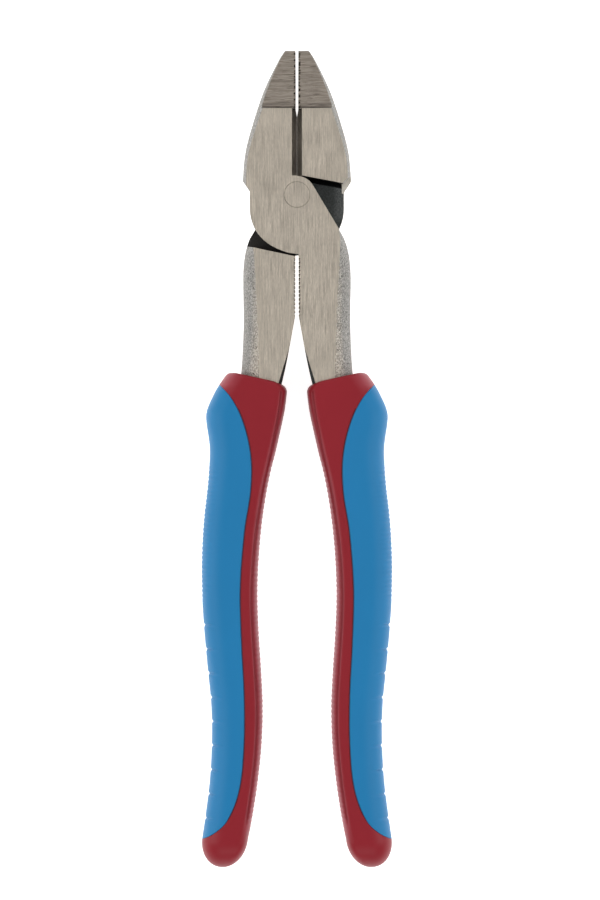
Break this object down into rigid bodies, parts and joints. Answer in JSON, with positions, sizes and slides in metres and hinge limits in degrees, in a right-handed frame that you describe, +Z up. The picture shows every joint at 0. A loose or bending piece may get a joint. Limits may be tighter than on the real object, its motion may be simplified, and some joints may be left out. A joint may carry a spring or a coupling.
{
  "type": "lineman pliers",
  "caption": "Side-cutting pliers with round-nosed serrated jaws, a lapped rivet joint and two-colour moulded grips, lying flat and nearly closed.",
  "frame": {"origin": "under the middle of the pliers as they lie flat, on the plane they lie on", "axes": "+X across the handles to the right one, +Y to the tips of the jaws, +Z up along the rivet out of the front face"},
  "size_m": [0.0564, 0.2414, 0.0184],
  "materials": {
    "forged_steel": "ground flat faces, shot-blasted edges, dark oxide in the recesses",
    "rivet_steel": "ground flush",
    "red_grip": "satin moulded",
    "blue_grip": "matt moulded"
  },
  "bodies": {
    "front": {"front_half": "forged_steel", "pivot_rivet": "rivet_steel", "right_grip_sleeve": "red_grip", "right_grip_cushion": "blue_grip"},
    "back": {"back_half": "forged_steel", "left_grip_sleeve": "red_grip", "left_grip_cushion": "blue_grip"}
  },
  "joints": [
    {"name": "rivet_joint", "type": "hinge", "parent": "front", "child": "back", "pos_m": [0, 0.07815, 0.0092], "axis": [0, 0, -1], "range_deg": [0, 46]}
  ]
}
